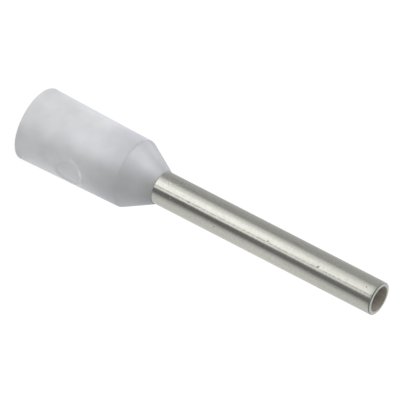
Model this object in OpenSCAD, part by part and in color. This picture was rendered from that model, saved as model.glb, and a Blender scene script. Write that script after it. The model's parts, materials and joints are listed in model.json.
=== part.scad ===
// Insulated bootlace ferrule for a 0.5 mm2 stranded wire, in millimetres.
// It stands on the collar's mouth, with +Z along the tube towards its tip.

/* [Collar] */
// Outside diameter of the collar at its mouth
mouth_diameter = 3.02; // [2.8:0.02:3.6]
// Wall of the collar at its mouth and round its cone
collar_wall = 0.26; // [0.22:0.01:0.32]
// Draft of the barrel's outside, in degrees
draft_angle = 1.15; // [0:0.05:1.5]
// Length of the barrel, from the mouth to the shoulder
barrel_length = 4.65; // [4:0.05:7]
// Length of the cone, from the shoulder to the collar's small end
cone_length = 1.25; // [1.1:0.05:1.6]
// Width of the flat edge where the collar ends on the tube
end_lip = 0.04; // [0.02:0.01:0.08]
// Rounding of the mouth's outer edge
rim_radius = 0.03; // [0.02:0.01:0.1]
// Chamfer of the mouth's inner edge, which leads the wire in
lead_in = 0.08; // [0.04:0.01:0.1]
// Rounding between the barrel and the cone
shoulder_radius = 0.2; // [0.1:0.05:0.5]

/* [Crimp tube] */
// Bore that takes the bare strands
bore_diameter = 1.02; // [0.9:0.01:1.15]
// Wall of the drawn tube
tube_wall = 0.17; // [0.13:0.01:0.2]
// Length of the tube that stands out of the collar
pin_length = 10.1; // [6:0.1:12]
// Swelling of the tube where the collar grips it
neck_swell = 0.02; // [0.01:0.01:0.03]
// Bend radius from the tube into the funnel, on the outer face
neck_bend_radius = 0.4; // [0.2:0.05:0.6]
// Bend radius from the funnel into its lip, on the outer face
lip_bend_radius = 0.45; // [0.3:0.05:0.6]
// Length of the funnel's lip, behind the ledge in the collar
lip_length = 0.9; // [0.6:0.1:1.4]
// Depth of the ledge that holds the lip in the collar
ledge_depth = 0.02; // [0.01:0.01:0.04]
// Chamfer of the lip's inner edge, so that no strand catches on it
lip_chamfer = 0.08; // [0.04:0.01:0.1]
// Rounding of the tip's outer edge
tip_radius = 0.05; // [0.02:0.01:0.06]
// Broken inner edge of the tip
tip_break = 0.02; // [0.01:0.01:0.04]

/* [Gate mark] */
// Diameter of the round recess that the moulding gate leaves in the barrel
gate_diameter = 1.2; // [0.8:0.1:1.4]
// Depth of the recess below the barrel's face
gate_depth = 0.04; // [0.02:0.01:0.06]
// Height of its centre above the mouth
gate_height = 2.5; // [1.5:0.1:3]
// Its direction round the axis, in degrees from +X
gate_angle = -36; // [-180:1:180]

/* [Hidden] */
$fn = 96;
ARC_STEPS = 6;

mouth_radius = mouth_diameter / 2;
socket_radius = mouth_radius - collar_wall;
shoulder_corner = [barrel_radius(barrel_length), barrel_length];
collar_length = barrel_length + cone_length;
overall_length = collar_length + pin_length;

bore_radius = bore_diameter / 2;
tube_radius = bore_radius + tube_wall;
neck_radius = tube_radius + neck_swell;
funnel_wall = neck_radius - bore_radius;
lip_radius = socket_radius + ledge_depth;
end_radius = tube_radius + end_lip;

// The cone's slope from the axis. The funnel runs parallel to it, one collar wall further in.
cone_angle = atan((shoulder_corner.x - end_radius) / cone_length);
function funnel_height(r) =
    collar_length - (r - end_radius) / tan(cone_angle) - collar_wall / sin(cone_angle);
neck_bend = [neck_radius + neck_bend_radius,
             funnel_height(neck_radius) + neck_bend_radius * tan(cone_angle / 2)];
lip_bend = [lip_radius - lip_bend_radius,
            funnel_height(lip_radius) - lip_bend_radius * tan(cone_angle / 2)];
lip_height = lip_bend.y - lip_length;

// The barrel's outer radius at a height above the mouth
function barrel_radius(z) = mouth_radius - z * tan(draft_angle);

// Points on an arc, each as [radius from the axis, height]
function arc(centre, radius, from, to) =
    [for (i = [0 : ARC_STEPS]) let (a = from + (to - from) * i / ARC_STEPS)
        centre + radius * [cos(a), sin(a)]];

// The funnel's two bends at a depth below its outer face, from the neck down to the lip
function funnel_line(depth) = concat(
    arc(neck_bend, neck_bend_radius + depth, 180, 180 + cone_angle),
    arc(lip_bend, lip_bend_radius - depth, cone_angle, 0));

function reversed(points) = [for (i = [len(points) - 1 : -1 : 0]) points[i]];

// Rounding of the shoulder, tangent to the barrel and to the cone
function shoulder_line() =
    let (reach = shoulder_radius * tan((cone_angle - draft_angle) / 2),
         start = shoulder_corner + reach * [sin(draft_angle), -cos(draft_angle)])
    arc(start - shoulder_radius * [cos(draft_angle), sin(draft_angle)],
        shoulder_radius, draft_angle, cone_angle);

collar_outline = concat(
    [[socket_radius + lead_in, 0]],
    arc([barrel_radius(rim_radius) - rim_radius, rim_radius], rim_radius, -90, 0),
    shoulder_line(),
    [[end_radius, collar_length], [tube_radius, collar_length]],
    funnel_line(0),
    [[lip_radius, lip_height], [socket_radius, lip_height], [socket_radius, lead_in]]);

tube_outline = concat(
    arc([tube_radius - tip_radius, overall_length - tip_radius], tip_radius, 90, 0),
    [[tube_radius, collar_length]],
    funnel_line(0),
    [[lip_radius, lip_height],
     [lip_radius - funnel_wall + lip_chamfer, lip_height],
     [lip_radius - funnel_wall, lip_height + lip_chamfer]],
    reversed(funnel_line(funnel_wall)),
    [[bore_radius, overall_length - tip_break], [bore_radius + tip_break, overall_length]]);

// What the gate recess takes away: a round plug, from just under the barrel's face outwards
module gate_recess() {
    intersection() {
        rotate([0, 90, gate_angle])
            translate([-gate_height, 0, 0])
                cylinder(d = gate_diameter, h = mouth_diameter);
        difference() {
            cylinder(r = mouth_diameter, h = barrel_length);
            cylinder(r1 = barrel_radius(0) - gate_depth,
                     r2 = barrel_radius(barrel_length) - gate_depth, h = barrel_length);
        }
    }
}

module collar() {
    color([0.84, 0.85, 0.87])
        difference() {
            rotate_extrude() polygon(collar_outline);
            gate_recess();
        }
}

module crimp_tube() {
    color([0.78, 0.78, 0.75])
        rotate_extrude() polygon(tube_outline);
}

collar();
crimp_tube();
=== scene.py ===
"""Insulated bootlace ferrule: a drawn tin-plated copper tube in a moulded polypropylene collar."""
import json
import math

import bpy
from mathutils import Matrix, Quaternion, Vector


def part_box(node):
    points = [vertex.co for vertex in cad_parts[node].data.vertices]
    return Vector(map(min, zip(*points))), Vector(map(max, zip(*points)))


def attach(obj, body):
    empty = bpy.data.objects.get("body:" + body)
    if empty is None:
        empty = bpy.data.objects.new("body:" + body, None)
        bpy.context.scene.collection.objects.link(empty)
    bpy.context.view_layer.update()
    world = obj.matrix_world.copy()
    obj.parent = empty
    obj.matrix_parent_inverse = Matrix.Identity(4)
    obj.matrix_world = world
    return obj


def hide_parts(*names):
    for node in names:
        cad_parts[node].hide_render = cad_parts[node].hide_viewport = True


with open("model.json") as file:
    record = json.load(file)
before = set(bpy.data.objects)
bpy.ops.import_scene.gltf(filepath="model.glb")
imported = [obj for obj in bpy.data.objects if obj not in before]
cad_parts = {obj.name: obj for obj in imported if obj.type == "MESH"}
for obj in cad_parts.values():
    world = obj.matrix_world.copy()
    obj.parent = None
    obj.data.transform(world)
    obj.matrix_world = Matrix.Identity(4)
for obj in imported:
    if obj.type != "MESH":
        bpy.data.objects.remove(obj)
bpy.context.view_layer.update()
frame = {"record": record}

MM = 0.001
TURN_STEPS = 256                        # faces round each turned piece
SMOOTH_ANGLE = math.radians(32)

# ---------------------------------------------------------------- sizes
MOUNTS = {m["name"]: m for m in frame["record"]["mounts"]}


def mount_radius(name):
    return MOUNTS[name]["dims"]["r_mm"] * MM


COLLAR_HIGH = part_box("collar")[1]
TUBE_LOW, TUBE_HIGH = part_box("crimp_tube")

MOUTH_R = COLLAR_HIGH.x                 # the collar's widest radius, at its rim
COLLAR_TOP = COLLAR_HIGH.z
SOCKET_R = mount_radius("insulation_socket")
TUBE_R = mount_radius("crimp_pin")
BORE_R = mount_radius("conductor_bore")
TIP_Z = TUBE_HIGH.z
LIP_Z = TUBE_LOW.z
LIP_R = TUBE_HIGH.x

CONE_LENGTH = 1.25 * MM
COLLAR_WALL = 0.26 * MM
DRAFT = math.radians(1.15)              # taper of the barrel's outside
SHOULDER_Z = COLLAR_TOP - CONE_LENGTH
SHOULDER_R = MOUTH_R - SHOULDER_Z * math.tan(DRAFT)
COLLAR_END_R = TUBE_R + 0.04 * MM
CONE_SLOPE = math.atan((SHOULDER_R - COLLAR_END_R) / CONE_LENGTH)
LEAD_IN = 0.08 * MM

RIM_ROUND = 0.03 * MM
SHOULDER_ROUND = 0.2 * MM
END_ROUND = 0.03 * MM
TIP_ROUND = 0.05 * MM
TIP_BREAK = 0.02 * MM

NECK_R = TUBE_R + 0.02 * MM
NECK_BEND = 0.4 * MM                    # bend radii of the funnel's outer face
LIP_BEND = 0.45 * MM
LIP_CHAMFER = 0.08 * MM
FUNNEL_WALL = NECK_R - BORE_R
INNER_DROP = FUNNEL_WALL * math.tan(CONE_SLOPE / 2)


def funnel_height(radius):
    """Height of the funnel's outer face, which runs one collar wall below the cone."""
    return COLLAR_TOP - (radius - COLLAR_END_R) / math.tan(CONE_SLOPE) - COLLAR_WALL / math.sin(CONE_SLOPE)


def barrel_radius(height):
    return MOUTH_R - height * math.tan(DRAFT)


# The moulding gate's mark: a shallow dish with a faint lip round it and a sheared burr towards the tip
GATE_Z = 2.5 * MM
GATE_R = 0.6 * MM
GATE_DEPTH = 0.045 * MM
GATE_WALL = 0.08 * MM                   # width of the dish's sloping edge
GATE_LIP_OUT = 0.05 * MM                # the lip's crest lies this far outside the dish
GATE_LIP_HALF = 0.07 * MM
GATE_LIP = 0.006 * MM
GATE_BURR = 0.016 * MM
GATE_REACH = 0.2 * MM                   # the mesh's fine rings go this far past the dish
GATE_RINGS = 0.032 * MM                 # their spacing
GATE_WAY = Vector((math.cos(math.radians(-36)), math.sin(math.radians(-36)), 0))

# Knocks on the tube: height, degrees from the front towards -X, size and depth, all in mm and degrees
KNOCKS = (
    (6.41, 23, 0.05, 0.004), (6.70, -18, 0.05, 0.008), (7.51, -4, 0.06, 0.006), (8.84, -38, 0.06, 0.005),
    (10.40, -79, 0.09, 0.015), (11.17, 1, 0.06, 0.006), (13.49, 2, 0.07, 0.007), (15.60, 17, 0.05, 0.004),
    (9.30, 118, 0.08, 0.008), (12.60, -150, 0.09, 0.009))
KNOCK_RINGS = 0.016 * MM                # spacing of the mesh's fine rings there
SCORE_TURN = math.radians(-2.6)         # turns the front's score line onto the Y axis


# ---------------------------------------------------------------- colour and nodes
def colour(hex_code):
    """sRGB hex to linear RGBA."""
    channels = [int(hex_code[i:i + 2], 16) / 255 for i in (1, 3, 5)]
    return [c / 12.92 if c <= 0.04045 else ((c + 0.055) / 1.055) ** 2.4 for c in channels] + [1.0]


def node(material, kind, settings=None, inputs=None, links=None):
    """Adds one node, with its settings, its input values and the sockets linked into it."""
    tree = material.node_tree
    made = tree.nodes.new(kind)
    for name, value in (settings or {}).items():
        setattr(made, name, value)
    for name, value in (inputs or {}).items():
        made.inputs[name].default_value = value
    for name, socket in (links or {}).items():
        tree.links.new(socket, made.inputs[name])
    return made


def empty_material(name):
    material = bpy.data.materials.new(name)
    material.use_nodes = True
    material.node_tree.nodes.clear()
    return material


# ---------------------------------------------------------------- turned pieces
def deselect_all():
    if bpy.context.object and bpy.context.object.mode != "OBJECT":
        bpy.ops.object.mode_set(mode="OBJECT")
    bpy.ops.object.select_all(action="DESELECT")


def turn(name, stations):
    """A closed piece turned about Z: one ring, extruded from station to station and bridged to its start."""
    deselect_all()
    radius, height = stations[0]
    bpy.ops.mesh.primitive_circle_add(vertices=TURN_STEPS, radius=radius, location=(0, 0, height))
    piece = bpy.context.object
    piece.name = piece.data.name = name
    bpy.ops.object.transform_apply(location=True, rotation=False, scale=False)
    bpy.ops.object.mode_set(mode="EDIT")
    bpy.ops.mesh.select_all(action="SELECT")
    for next_radius, next_height in stations[1:]:
        bpy.ops.mesh.extrude_region_move(
            TRANSFORM_OT_translate={"value": (0, 0, next_height - height)})
        share = next_radius / radius
        bpy.ops.transform.resize(value=(share, share, 1), center_override=(0, 0, 0))
        radius, height = next_radius, next_height
    bpy.ops.mesh.select_all(action="DESELECT")
    bpy.ops.mesh.select_mode(type="EDGE")
    bpy.ops.mesh.select_non_manifold(extend=False)
    bpy.ops.mesh.bridge_edge_loops()
    bpy.ops.mesh.select_all(action="SELECT")
    bpy.ops.mesh.normals_make_consistent(inside=False)
    bpy.ops.object.mode_set(mode="OBJECT")
    return piece


def round_ring(piece, radius, height, width, segments):
    """Bevels the ring of edges at one radius and height."""
    deselect_all()
    bpy.context.view_layer.objects.active = piece
    piece.select_set(True)
    bpy.ops.object.mode_set(mode="EDIT")
    bpy.ops.mesh.select_mode(type="EDGE")
    bpy.ops.mesh.select_all(action="DESELECT")
    bpy.ops.object.mode_set(mode="OBJECT")
    points = piece.data.vertices
    for edge in piece.data.edges:
        ends = [points[i].co for i in edge.vertices]
        edge.select = all(
            abs(math.hypot(p.x, p.y) - radius) < 1e-6 and abs(p.z - height) < 1e-6 for p in ends)
    bpy.ops.object.mode_set(mode="EDIT")
    bpy.ops.mesh.bevel(offset=width, segments=segments, profile=0.5, affect="EDGES")
    bpy.ops.object.mode_set(mode="OBJECT")


def fine_rings(profile, centre, reach, step):
    """Extra rings, step apart, for a detail at one height of a wall. profile gives the wall's radius."""
    count = round(reach / step)
    heights = [centre + i * step for i in range(-count, count + 1)]
    return [(profile(height), height) for height in heights]


def press(piece, name, weigh, depth, mark=None):
    """Sinks (or, with a negative depth, raises) the surface along its normals by depth times weigh(point).

    mark names a point attribute that keeps the weights, for the material.
    """
    group = piece.vertex_groups.new(name=name)
    if mark and mark not in piece.data.attributes:
        piece.data.attributes.new(mark, "FLOAT", "POINT")
    for point in piece.data.vertices:
        weight = weigh(point.co)
        if weight > 0:
            group.add([point.index], weight, "REPLACE")
            if mark:
                piece.data.attributes[mark].data[point.index].value = weight
    deselect_all()
    bpy.context.view_layer.objects.active = piece
    sink = piece.modifiers.new(name, "DISPLACE")
    sink.vertex_group = name
    sink.mid_level = 0
    sink.strength = -depth
    bpy.ops.object.modifier_apply(modifier=name)
    piece.vertex_groups.remove(piece.vertex_groups[name])


def ease(value, start, end):
    """0 at start, 1 at end, smooth between."""
    share = min(1, max(0, (value - start) / (end - start)))
    return share * share * (3 - 2 * share)


def select_faces(piece, wanted):
    """Leaves the piece in edit mode with the faces selected whose centre (radius, height) is wanted."""
    deselect_all()
    bpy.context.view_layer.objects.active = piece
    piece.select_set(True)
    bpy.ops.object.mode_set(mode="EDIT")
    bpy.ops.mesh.select_mode(type="FACE")
    bpy.ops.mesh.select_all(action="DESELECT")
    bpy.ops.object.mode_set(mode="OBJECT")
    for face in piece.data.polygons:
        face.select = wanted(math.hypot(face.center.x, face.center.y), face.center.z)
    bpy.ops.object.mode_set(mode="EDIT")


def finish_piece(piece, material, node_name):
    deselect_all()
    bpy.context.view_layer.objects.active = piece
    piece.select_set(True)
    bpy.ops.object.shade_smooth_by_angle(angle=SMOOTH_ANGLE)
    piece.data.materials.clear()
    piece.data.materials.append(material)
    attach(piece, "root")
    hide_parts(node_name)


# ---------------------------------------------------------------- materials
def moulded_polypropylene():
    """Injection-moulded polypropylene: milky, softly clouded and satin.

    It is greyer, by painted shade, where the dark metal funnel lies behind its thin wall and keeps light from
    shining through, and darker, by painted shade, where it runs out on the tube.
    """
    made = empty_material("moulded_polypropylene")
    where = node(made, "ShaderNodeTexCoord")
    axes = node(made, "ShaderNodeSeparateXYZ", links={0: where.outputs["Object"]})
    # Painted shade: greyer from 2.55 mm up to 4.75 mm, standing in for the light that the metal funnel behind
    # the wall keeps from shining through
    funnel_shade_mask = node(made, "ShaderNodeMapRange", {"interpolation_type": "SMOOTHSTEP"},
                  {"From Min": 2.55 * MM, "From Max": 4.75 * MM}, {"Value": axes.outputs["Z"]})
    cloud = node(made, "ShaderNodeTexNoise", inputs={"Scale": 1 / (0.8 * MM), "Detail": 3.0},
                 links={"Vector": where.outputs["Object"]})
    clouded = node(made, "ShaderNodeMapRange", inputs={"From Min": 0.32, "From Max": 0.68},
                   links={"Value": cloud.outputs["Fac"]})
    milky = node(made, "ShaderNodeMix", {"data_type": "RGBA"}, {6: colour("#D4D5D6"), 7: colour("#DFE0E0")},
                 {0: clouded.outputs[0]})
    funnel_shaded = node(made, "ShaderNodeMix", {"data_type": "RGBA", "blend_type": "MULTIPLY"},
                       {7: colour("#DADBDC")}, {0: funnel_shade_mask.outputs[0], 6: milky.outputs[2]})
    # Painted shade: darker towards the collar's end, from 5.25 mm up, where it runs out on the tube
    junction_shade_mask = node(made, "ShaderNodeMapRange", {"interpolation_type": "SMOOTHSTEP"},
                  {"From Min": 5.25 * MM, "From Max": 5.95 * MM}, {"Value": axes.outputs["Z"]})
    junction_shaded = node(made, "ShaderNodeMix", {"data_type": "RGBA", "blend_type": "MULTIPLY"},
                 {7: colour("#EAEAE7")}, {0: junction_shade_mask.outputs[0], 6: funnel_shaded.outputs[2]})
    # Stress-whitened, broken edge on the tip side of the gate's lip, made lighter still as a painted
    # highlight
    whitening_and_highlight_weight = node(made, "ShaderNodeAttribute", {"attribute_name": "whitening_and_highlight"})
    patchy = node(made, "ShaderNodeMapRange", inputs={"From Min": 0.36, "From Max": 0.56, "To Max": 1.0},
                  links={"Value": cloud.outputs["Fac"]})
    edge = node(made, "ShaderNodeMath", {"operation": "MULTIPLY"},
                links={0: whitening_and_highlight_weight.outputs["Fac"], 1: patchy.outputs[0]})
    whitened_and_highlighted = node(made, "ShaderNodeMix", {"data_type": "RGBA"}, {7: colour("#F8F9F9")},
                   {0: edge.outputs[0], 6: junction_shaded.outputs[2]})
    grain = node(made, "ShaderNodeTexNoise", inputs={"Scale": 1 / (0.12 * MM), "Detail": 2.0},
                 links={"Vector": where.outputs["Object"]})
    gloss = node(made, "ShaderNodeMapRange", inputs={"To Min": 0.26, "To Max": 0.36},
                 links={"Value": grain.outputs["Fac"]})
    waves = node(made, "ShaderNodeBump", inputs={"Strength": 0.15, "Distance": 0.004 * MM},
                 links={"Height": cloud.outputs["Fac"]})
    shader = node(made, "ShaderNodeBsdfPrincipled",
                  inputs={"IOR": 1.49, "Specular IOR Level": 1.0, "Subsurface Weight": 0.12,
                          "Subsurface Scale": 0.25 * MM, "Subsurface Radius": (1.0, 1.0, 1.0)},
                  links={"Base Color": whitened_and_highlighted.outputs[2], "Roughness": gloss.outputs[0],
                         "Normal": waves.outputs[0]})
    node(made, "ShaderNodeOutputMaterial", links={"Surface": shader.outputs["BSDF"]})
    return made


def tin_plated_copper():
    """Drawn copper tube, bright tin-plated: warm grey, with draw lines, score lines and faint rubs."""
    made = empty_material("tin_plated_copper")
    where = node(made, "ShaderNodeTexCoord")
    along = node(made, "ShaderNodeMapping", inputs={"Scale": (1, 1, 0.02)},
                 links={"Vector": where.outputs["Object"]})
    lines = node(made, "ShaderNodeTexNoise", inputs={"Scale": 1 / (0.04 * MM), "Detail": 3.0},
                 links={"Vector": along.outputs[0]})
    grain = node(made, "ShaderNodeTexNoise", inputs={"Scale": 1 / (0.09 * MM), "Detail": 2.0},
                 links={"Vector": where.outputs["Object"]})
    # Rubs from handling: sparse faint dashes, 0.05 mm wide and up to 1 mm long
    dashed = node(made, "ShaderNodeMapping", inputs={"Scale": (1, 1, 0.07)},
                  links={"Vector": where.outputs["Object"]})
    dashes = node(made, "ShaderNodeTexNoise", inputs={"Scale": 1 / (0.07 * MM), "Detail": 1.0},
                  links={"Vector": dashed.outputs[0]})
    rubs = node(made, "ShaderNodeMapRange", inputs={"From Min": 0.66, "From Max": 0.74},
                links={"Value": dashes.outputs["Fac"]})
    # The die's score: one thin broken line, the whole length of the tube
    facing = node(made, "ShaderNodeMapping", inputs={"Rotation": (0, 0, SCORE_TURN)},
                  links={"Vector": where.outputs["Object"]})
    across = node(made, "ShaderNodeSeparateXYZ", links={0: facing.outputs[0]})
    off_line = node(made, "ShaderNodeMath", {"operation": "ABSOLUTE"}, links={0: across.outputs["X"]})
    on_line = node(made, "ShaderNodeMapRange", inputs={"From Min": 0.022 * MM, "From Max": 0.008 * MM},
                   links={"Value": off_line.outputs[0]})
    front = node(made, "ShaderNodeMath", {"operation": "LESS_THAN"}, {1: 0.0}, {0: across.outputs["Y"]})
    breaks = node(made, "ShaderNodeMapRange", inputs={"From Min": 0.42, "From Max": 0.52},
                  links={"Value": grain.outputs["Fac"]})
    scored = node(made, "ShaderNodeMath", {"operation": "MULTIPLY"},
                  links={0: on_line.outputs[0], 1: front.outputs[0]})
    broken = node(made, "ShaderNodeMath", {"operation": "MULTIPLY"},
                  links={0: scored.outputs[0], 1: breaks.outputs[0]})
    score = node(made, "ShaderNodeMath", {"operation": "MULTIPLY"}, {1: 0.55}, {0: broken.outputs[0]})
    faint_rubs = node(made, "ShaderNodeMath", {"operation": "MULTIPLY"}, {1: 0.25}, {0: rubs.outputs[0]})
    lined = node(made, "ShaderNodeMath", {"operation": "MAXIMUM"},
                 links={0: score.outputs[0], 1: faint_rubs.outputs[0]})
    # Darker in the knocks, by half their weight
    knocked = node(made, "ShaderNodeAttribute", {"attribute_name": "knock_darkening"})
    knock_darkening = node(made, "ShaderNodeMath", {"operation": "MULTIPLY"}, {1: 0.5}, {0: knocked.outputs["Fac"]})
    marks = node(made, "ShaderNodeMath", {"operation": "MAXIMUM"},
                 links={0: lined.outputs[0], 1: knock_darkening.outputs[0]})

    tin = node(made, "ShaderNodeMix", {"data_type": "RGBA"}, {6: colour("#DADAD2"), 7: colour("#EAEAE3")},
               {0: lines.outputs["Fac"]})
    speckle = node(made, "ShaderNodeMapRange", inputs={"From Min": 0.35, "From Max": 0.65},
                   links={"Value": grain.outputs["Fac"]})
    grainy = node(made, "ShaderNodeMix", {"data_type": "RGBA", "blend_type": "MULTIPLY"},
                  {7: colour("#F5F5F2")}, {0: speckle.outputs[0], 6: tin.outputs[2]})
    marked = node(made, "ShaderNodeMix", {"data_type": "RGBA"}, {7: colour("#8F8D82")},
                  {0: marks.outputs[0], 6: grainy.outputs[2]})
    gloss = node(made, "ShaderNodeMapRange", inputs={"To Min": 0.12, "To Max": 0.19},
                 links={"Value": lines.outputs["Fac"]})
    drawn = node(made, "ShaderNodeBump", inputs={"Strength": 0.2, "Distance": 0.004 * MM},
                 links={"Height": lines.outputs["Fac"]})
    uneven = node(made, "ShaderNodeBump", inputs={"Strength": 0.3, "Distance": 0.004 * MM},
                  links={"Height": grain.outputs["Fac"], "Normal": drawn.outputs[0]})
    cut = node(made, "ShaderNodeBump", {"invert": True}, {"Strength": 0.5, "Distance": 0.006 * MM},
               {"Height": marks.outputs[0], "Normal": uneven.outputs[0]})
    shader = node(made, "ShaderNodeBsdfPrincipled", inputs={"Metallic": 1.0},
                  links={"Base Color": marked.outputs[2], "Roughness": gloss.outputs[0],
                         "Normal": cut.outputs[0]})
    node(made, "ShaderNodeOutputMaterial", links={"Surface": shader.outputs["BSDF"]})
    return made


def dull_copper_bore():
    """The bore's wall, where the plating stays thin: dull brown-grey copper."""
    made = empty_material("dull_copper_bore")
    where = node(made, "ShaderNodeTexCoord")
    stain = node(made, "ShaderNodeTexNoise", inputs={"Scale": 1 / (0.15 * MM), "Detail": 3.0},
                 links={"Vector": where.outputs["Object"]})
    dull = node(made, "ShaderNodeMix", {"data_type": "RGBA"}, {6: colour("#B2ABA2"), 7: colour("#C9C3BA")},
                {0: stain.outputs["Fac"]})
    shader = node(made, "ShaderNodeBsdfPrincipled", inputs={"Metallic": 0.3, "Roughness": 0.6},
                  links={"Base Color": dull.outputs[2]})
    node(made, "ShaderNodeOutputMaterial", links={"Surface": shader.outputs["BSDF"]})
    return made


# ---------------------------------------------------------------- the pieces
def round_funnel(piece, depth):
    """Rounds the funnel's two bends, on the face that lies this deep below its outer one."""
    half = math.tan(CONE_SLOPE / 2)
    for radius, bend in ((NECK_R, NECK_BEND + depth), (LIP_R, LIP_BEND - depth)):
        round_ring(piece, radius - depth, funnel_height(radius) - depth * half, bend * half, 6)


def from_gate(point):
    """Distance from the gate's axis along the barrel's outside, or a large one elsewhere."""
    out = point.dot(GATE_WAY)
    if out < 0 or math.hypot(point.x, point.y) < barrel_radius(point.z) - 0.01 * MM:
        return 1.0
    aside = point - GATE_WAY * out
    return math.hypot(math.hypot(aside.x, aside.y), point.z - GATE_Z)


def lip_weight(point):
    """1 on the crest of the lip round the gate's dish, falling to 0 on both sides."""
    return ease(abs(from_gate(point) - GATE_R - GATE_LIP_OUT), GATE_LIP_HALF, 0)


def make_collar():
    stations = [
        (SOCKET_R + LEAD_IN, 0),
        (MOUTH_R, 0),
        *fine_rings(barrel_radius, GATE_Z, GATE_R + GATE_REACH, GATE_RINGS),
        (SHOULDER_R, SHOULDER_Z),
        (COLLAR_END_R, COLLAR_TOP),
        (TUBE_R, COLLAR_TOP),
        (NECK_R, funnel_height(NECK_R)),
        (LIP_R, funnel_height(LIP_R)),
        (LIP_R, LIP_Z),
        (SOCKET_R, LIP_Z),
        (SOCKET_R, LEAD_IN),
    ]
    piece = turn("collar_sleeve", stations)
    half_shoulder = math.tan((CONE_SLOPE - DRAFT) / 2)
    round_ring(piece, MOUTH_R, 0, RIM_ROUND, 5)
    round_ring(piece, SHOULDER_R, SHOULDER_Z, SHOULDER_ROUND * half_shoulder, 5)
    round_ring(piece, COLLAR_END_R, COLLAR_TOP, END_ROUND, 3)
    round_funnel(piece, 0)
    press(piece, "gate_dish", lambda point: ease(from_gate(point), GATE_R, GATE_R - GATE_WALL), GATE_DEPTH)
    press(piece, "gate_lip", lip_weight, -GATE_LIP)
    # The burr's weights, kept as a point attribute, also place the stress-whitening and painted highlight on
    # the lip
    press(piece, "gate_burr", lambda point: (
        lip_weight(point) * ease(point.z - GATE_Z, -0.1 * MM, 0.35 * MM)), -GATE_BURR, "whitening_and_highlight")
    return piece


def knock_weight(point, height, degrees, size):
    """1 at a knock's middle, falling to 0 at its edge, on the tube's outside."""
    a = math.radians(degrees)
    middle = Vector((-math.sin(a) * TUBE_R, -math.cos(a) * TUBE_R, height * MM))
    if math.hypot(point.x, point.y) < TUBE_R - 0.001 * MM:
        return 0
    return ease((point - middle).length, size * MM, 0)


def make_tube():
    rings = [ring for height, _, size, _ in sorted(KNOCKS, reverse=True)
             for ring in reversed(fine_rings(lambda z: TUBE_R, height * MM, size * MM, KNOCK_RINGS))]
    stations = [
        (TUBE_R, TIP_Z),
        *rings,
        (TUBE_R, COLLAR_TOP),
        (NECK_R, funnel_height(NECK_R)),
        (LIP_R, funnel_height(LIP_R)),
        (LIP_R, LIP_Z),
        (LIP_R - FUNNEL_WALL + LIP_CHAMFER, LIP_Z),
        (LIP_R - FUNNEL_WALL, LIP_Z + LIP_CHAMFER),
        (LIP_R - FUNNEL_WALL, funnel_height(LIP_R) - INNER_DROP),
        (BORE_R, funnel_height(NECK_R) - INNER_DROP),
        (BORE_R, TIP_Z - TIP_BREAK),
        (BORE_R + TIP_BREAK, TIP_Z),
    ]
    piece = turn("crimp_tube_shell", stations)
    round_ring(piece, TUBE_R, TIP_Z, TIP_ROUND, 6)
    round_funnel(piece, 0)
    round_funnel(piece, FUNNEL_WALL)
    # Each knock's weights are kept as a point attribute that darkens it in the material
    for i, (height, degrees, size, depth) in enumerate(KNOCKS):
        press(piece, f"knock_{i}", lambda point: knock_weight(point, height, degrees, size),
              depth * MM, "knock_darkening")
    return piece


def line_bore(piece, material):
    """Gives the inner wall, from just inside the tip down to the lip, its own finish."""
    piece.data.materials.append(material)
    inner_wall = (BORE_R + TUBE_R) / 2
    select_faces(piece, lambda radius, height: (
        radius < BORE_R + TIP_BREAK / 4 if height > COLLAR_TOP else
        funnel_height(radius) - height > INNER_DROP * 2 or radius < inner_wall))
    piece.active_material_index = 1
    bpy.ops.object.material_slot_assign()
    bpy.ops.object.mode_set(mode="OBJECT")


# ---------------------------------------------------------------- camera
VIEW_ELEVATION = math.radians(23.9)
VIEW_ROLL = math.radians(117.20)
VIEW_DISTANCE = 0.2603
VIEW_AIM = Vector((-0.238, 0, 7.573)) * MM
VIEW_LENS = 614                         # mm, on a 36 mm wide sensor


def make_camera():
    data = bpy.data.cameras.new("camera")
    data.sensor_width = 36
    data.lens = VIEW_LENS
    data.clip_start = 0.01
    data.clip_end = 10
    camera = bpy.data.objects.new("camera", data)
    bpy.context.scene.collection.objects.link(camera)
    back = Vector((0, -math.cos(VIEW_ELEVATION), math.sin(VIEW_ELEVATION)))
    camera.location = VIEW_AIM + back * VIEW_DISTANCE
    camera.rotation_mode = "QUATERNION"
    camera.rotation_quaternion = back.to_track_quat("Z", "Y") @ Quaternion((0, 0, 1), VIEW_ROLL)
    bpy.context.scene.camera = camera


# ---------------------------------------------------------------- stage
BACKDROP = (1, 1, 1, 1)


def reflected_or_glass(material):
    """1 for the rays that reflections and clear materials send out, else 0."""
    path = node(material, "ShaderNodeLightPath")
    return path, node(material, "ShaderNodeMath", {"operation": "MAXIMUM"},
                      links={0: path.outputs["Is Glossy Ray"], 1: path.outputs["Is Transmission Ray"]})


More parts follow.
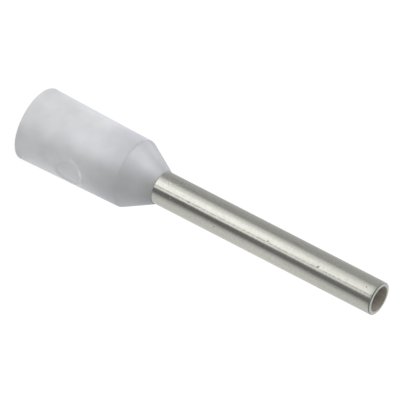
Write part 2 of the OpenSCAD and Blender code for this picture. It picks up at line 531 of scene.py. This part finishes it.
def make_floor():
    """White paper. It looks like the backdrop, and the eye also sees the part's soft shadow on it.

    A glow of its own adds to the light that it gives the part from below.
    """
    deselect_all()
    bpy.ops.mesh.primitive_plane_add(size=2, location=(0, 0, 0))
    floor = bpy.context.object
    floor.name = "floor"
    made = empty_material("floor_paper")
    sheet = node(made, "ShaderNodeBsdfDiffuse", inputs={"Color": colour("#A8A8A8")})
    own_glow = node(made, "ShaderNodeEmission", inputs={"Color": BACKDROP, "Strength": 0.45})
    paper = node(made, "ShaderNodeAddShader", links={0: sheet.outputs[0], 1: own_glow.outputs[0]})
    thin = node(made, "ShaderNodeBsdfDiffuse", inputs={"Color": colour("#9A9A9A")})
    glow = node(made, "ShaderNodeEmission", inputs={"Color": BACKDROP, "Strength": 0.8})
    seen = node(made, "ShaderNodeAddShader", links={0: thin.outputs[0], 1: glow.outputs[0]})
    mirrored = node(made, "ShaderNodeEmission", inputs={"Color": BACKDROP, "Strength": 1.0})
    path, bounced = reflected_or_glass(made)
    direct = node(made, "ShaderNodeMixShader",
                  links={0: path.outputs["Is Camera Ray"], 1: paper.outputs[0], 2: seen.outputs[0]})
    both = node(made, "ShaderNodeMixShader",
                links={0: bounced.outputs[0], 1: direct.outputs[0], 2: mirrored.outputs[0]})
    node(made, "ShaderNodeOutputMaterial", links={"Surface": both.outputs[0]})
    made.cycles.emission_sampling = "NONE"
    floor.data.materials.append(made)


def graded(material, direction, tones, which):
    """A ramp of greys round the part. 0 degrees is the camera's side (-Y), 90 is -X."""
    around = node(material, "ShaderNodeTexGradient", {"gradient_type": "RADIAL"}, links={"Vector": direction})
    ramp = node(material, "ShaderNodeValToRGB", links={0: around.outputs["Fac"]})
    stops = ramp.color_ramp.elements
    stops.remove(stops[1])
    for i, (degrees, *levels) in enumerate(sorted(tones, reverse=True)):
        stop = stops[0] if i == 0 else stops.new(0.5 - degrees / 360)
        stop.position = 0.5 - degrees / 360
        stop.color = [levels[which] / CARD_FULL] * 3 + [1]
    return ramp


def reflection_card(name, rings, tones, tint, underside=False):
    """A ring-shaped card round the part that only reflections see, graded round it and outwards.

    rings holds its inner and outer (radius, height), tones (degrees, level at the inner ring, at the outer).
    """
    deselect_all()
    (inner, low), (outer, high) = rings
    bpy.ops.mesh.primitive_circle_add(vertices=128, radius=inner, location=(0, 0, low))
    card = bpy.context.object
    card.name = card.data.name = name
    bpy.ops.object.transform_apply(location=True, rotation=False, scale=False)
    bpy.ops.object.mode_set(mode="EDIT")
    bpy.ops.mesh.select_all(action="SELECT")
    bpy.ops.mesh.extrude_region_move(TRANSFORM_OT_translate={"value": (0, 0, high - low)})
    bpy.ops.transform.resize(value=(outer / inner, outer / inner, 1), center_override=(0, 0, 0))
    bpy.ops.object.mode_set(mode="OBJECT")

    made = empty_material(name)
    where = node(made, "ShaderNodeTexCoord")
    turned = node(made, "ShaderNodeMapping", inputs={"Rotation": (0, 0, math.radians(90))},
                  links={"Vector": where.outputs["Object"]})
    axes = node(made, "ShaderNodeSeparateXYZ", links={0: where.outputs["Object"]})
    flat = node(made, "ShaderNodeVectorMath", {"operation": "MULTIPLY"}, {1: (1, 1, 0)},
                {0: where.outputs["Object"]})
    reach = node(made, "ShaderNodeVectorMath", {"operation": "LENGTH"}, links={0: flat.outputs[0]})
    rise = 1 if high >= low else -1
    climb = node(made, "ShaderNodeMath", {"operation": "MULTIPLY_ADD"}, {1: rise},
                 {0: axes.outputs["Z"], 2: reach.outputs["Value"]})
    outwards = node(made, "ShaderNodeMapRange",
                    inputs={"From Min": inner + rise * low, "From Max": outer + rise * high},
                    links={"Value": climb.outputs[0]})
    tone = node(made, "ShaderNodeMix", {"data_type": "RGBA"},
                links={0: outwards.outputs[0],
                       6: graded(made, turned.outputs[0], tones, 0).outputs["Color"],
                       7: graded(made, turned.outputs[0], tones, 1).outputs["Color"]})
    tinted = node(made, "ShaderNodeMix", {"data_type": "RGBA", "blend_type": "MULTIPLY"},
                  {0: 1.0, 7: colour(tint)}, {6: tone.outputs[2]})
    glow = node(made, "ShaderNodeEmission", inputs={"Strength": CARD_FULL},
                links={"Color": tinted.outputs[2]})
    surface = glow
    if underside:
        clear = node(made, "ShaderNodeBsdfTransparent")
        side = node(made, "ShaderNodeNewGeometry")
        surface = node(made, "ShaderNodeMixShader",
                       links={0: side.outputs["Backfacing"], 1: clear.outputs[0], 2: glow.outputs[0]})
    node(made, "ShaderNodeOutputMaterial", links={"Surface": surface.outputs[0]})
    made.cycles.emission_sampling = "NONE"
    card.data.materials.append(made)
    card.visible_camera = card.visible_diffuse = card.visible_shadow = card.visible_volume_scatter = False


def make_world():
    world = bpy.data.worlds.new("studio")
    bpy.context.scene.world = world
    world.use_nodes = True
    world.node_tree.nodes.clear()
    path, bounced = reflected_or_glass(world)
    backdrop = node(world, "ShaderNodeMath", {"operation": "MAXIMUM"},
                    links={0: bounced.outputs[0], 1: path.outputs["Is Camera Ray"]})
    soft = node(world, "ShaderNodeBackground", inputs={"Color": BACKDROP, "Strength": WORLD_LEVEL})
    white = node(world, "ShaderNodeBackground", inputs={"Color": BACKDROP, "Strength": 1.0})
    both = node(world, "ShaderNodeMixShader",
                links={0: backdrop.outputs[0], 1: soft.outputs[0], 2: white.outputs[0]})
    node(world, "ShaderNodeOutputWorld", links={"Surface": both.outputs[0]})


KEY_AZIMUTH = math.radians(70)          # 0 is the camera's side (-Y), 90 degrees is -X
KEY_ELEVATION = math.radians(20)
KEY_DISTANCE = 0.3
KEY_SIZE = 0.25
KEY_POWER = 0.27


def make_key_light():
    """A square soft light aimed at the middle of the ferrule."""
    data = bpy.data.lights.new("key_softbox", "AREA")
    data.shape = "SQUARE"
    data.size = KEY_SIZE
    data.energy = KEY_POWER
    light = bpy.data.objects.new("key_softbox", data)
    bpy.context.scene.collection.objects.link(light)
    level = math.cos(KEY_ELEVATION)
    way = Vector((-math.sin(KEY_AZIMUTH) * level, -math.cos(KEY_AZIMUTH) * level, math.sin(KEY_ELEVATION)))
    light.location = Vector((0, 0, TIP_Z / 2)) + way * KEY_DISTANCE
    light.rotation_mode = "QUATERNION"
    light.rotation_quaternion = way.to_track_quat("Z", "Y")


WORLD_LEVEL = 0.68
CARD_FULL = 4.0           # the level that a ramp's white stands for

# Tones of the reflection cards: degrees round the part, then levels from the inner ring outwards
TUBE_TONES = (
    (180, 0.70, 0.70, 0.70), (165, 0.64, 0.62, 0.64), (150, 0.50, 0.49, 0.52), (127, 0.455, 0.445, 0.46),
    (103, 0.40, 0.39, 0.41), (84, 0.36, 0.36, 0.39), (68, 0.315, 0.33, 0.37), (60, 0.48, 0.50, 0.50),
    (52, 0.69, 0.70, 0.68), (42, 0.79, 0.82, 0.78), (34, 0.96, 1.06, 0.88), (26, 1.13, 1.20, 0.96),
    (12, 1.18, 1.20, 1.02), (4, 1.17, 1.18, 1.05), (-2, 0.84, 0.84, 0.74), (-7, 0.78, 0.80, 0.68),
    (-12, 1.00, 1.02, 0.80), (-16, 0.92, 0.92, 0.76), (-19, 0.52, 0.54, 0.56), (-24, 0.16, 0.17, 0.20),
    (-46, 0.155, 0.165, 0.155), (-54, 0.30, 0.33, 0.25), (-62, 0.46, 0.50, 0.39), (-72, 0.575, 0.64, 0.52),
    (-90, 0.65, 0.70, 0.62), (-127, 0.66, 0.71, 0.63), (-160, 0.70, 0.72, 0.70), (-180, 0.70, 0.70, 0.70))
COLLAR_TONES = (
    (180, 0.9, 1.2), (122, 1.0, 1.4), (98, 0.85, 1.8), (87, 0.6, 1.9), (66, 0.7, 2.5), (45, 1.0, 3.1),
    (35, 1.2, 3.4), (21, 1.6, 3.7), (10, 1.5, 3.5), (0, 1.25, 3.0), (-10, 0.9, 2.4), (-21, 0.45, 1.25),
    (-31, 0.25, 0.5), (-43, 0.13, 0.15), (-70, 0.2, 0.2), (-85, 0.5, 0.4), (-100, 0.85, 0.7),
    (-125, 1.0, 0.9), (-180, 0.9, 0.9))
CONE_TONES = (
    (180, 0.8, 0.8), (150, 1.6, 1.6), (122, 1.8, 1.8), (98, 1.3, 1.3), (75, 1.7, 1.7), (45, 2.2, 2.2),
    (28, 1.65, 1.65), (14, 1.1, 1.1), (0, 0.65, 0.65), (-20, 0.1, 0.1), (-60, 0.15, 0.15), (-90, 0.35, 0.35),
    (-130, 0.8, 0.8), (-180, 0.8, 0.8))
HORIZON_TONES = (
    (180, 0.8, 0.8), (150, 1.5, 1.5), (125, 1.5, 1.5), (105, 0.9, 0.9), (85, 0.3, 0.3), (0, 0.2, 0.2),
    (-80, 0.2, 0.2), (-105, 0.6, 0.6), (-130, 0.8, 0.8), (-180, 0.8, 0.8))
TENT_TONES = (
    (180, 0.62, 0.62), (160, 0.6, 0.6), (140, 0.32, 0.32), (90, 0.2, 0.2), (-90, 0.18, 0.18),
    (-140, 0.32, 0.32), (-160, 0.6, 0.6), (-180, 0.62, 0.62))
WHITE = "#FFFFFF"
DAYLIGHT = "#EEF1FF"
LOW = 0.05                # mm, height of the cards that lie on the floor


def with_levels(tones, first, last):
    """Picks the two levels that one card grades between."""
    return [(tone[0], tone[first], tone[last]) for tone in tones]


def card_edge(radius, height):
    """A card's edge, from mm."""
    return radius * MM, height * MM


make_camera()
make_world()
make_floor()
# What the tube mirrors: four rings on the floor
reflection_card("tube_card_near", (card_edge(5.2, LOW), card_edge(20, LOW)),
                with_levels(TUBE_TONES, 1, 1), WHITE)
reflection_card("tube_card_middle", (card_edge(20, LOW), card_edge(26, LOW)),
                with_levels(TUBE_TONES, 1, 2), WHITE)
reflection_card("tube_card_upper", (card_edge(26, LOW), card_edge(36, LOW)),
                with_levels(TUBE_TONES, 2, 3), WHITE)
reflection_card("tube_card_far", (card_edge(36, LOW), card_edge(98, LOW)),
                with_levels(TUBE_TONES, 3, 3), WHITE)
# What the collar's barrel mirrors: the floor close by and a low wall
reflection_card("collar_card_flat", ((MOUTH_R + 0.01 * MM, 0.01 * MM), card_edge(5, 0.01)),
                with_levels(COLLAR_TONES, 1, 1), DAYLIGHT)
reflection_card("collar_card_upright", (card_edge(5, LOW), card_edge(5.2, 3.35)), COLLAR_TONES, DAYLIGHT)
# What the cone and the rounded edges mirror: a sheet overhead, the horizon and the tent
reflection_card("cone_card", (card_edge(3, 11), card_edge(60, 11)), CONE_TONES, DAYLIGHT, underside=True)
reflection_card("horizon_card", (card_edge(60, 0.1), card_edge(61, 11)), HORIZON_TONES, DAYLIGHT)
reflection_card("tent", (card_edge(4, 140), card_edge(100, 2 * LOW)), TENT_TONES, WHITE)
make_key_light()

collar = make_collar()
tube = make_tube()
finish_piece(collar, moulded_polypropylene(), "collar")
finish_piece(tube, tin_plated_copper(), "crimp_tube")
line_bore(tube, dull_copper_bore())

bpy.context.scene.view_settings.view_transform = "Standard"
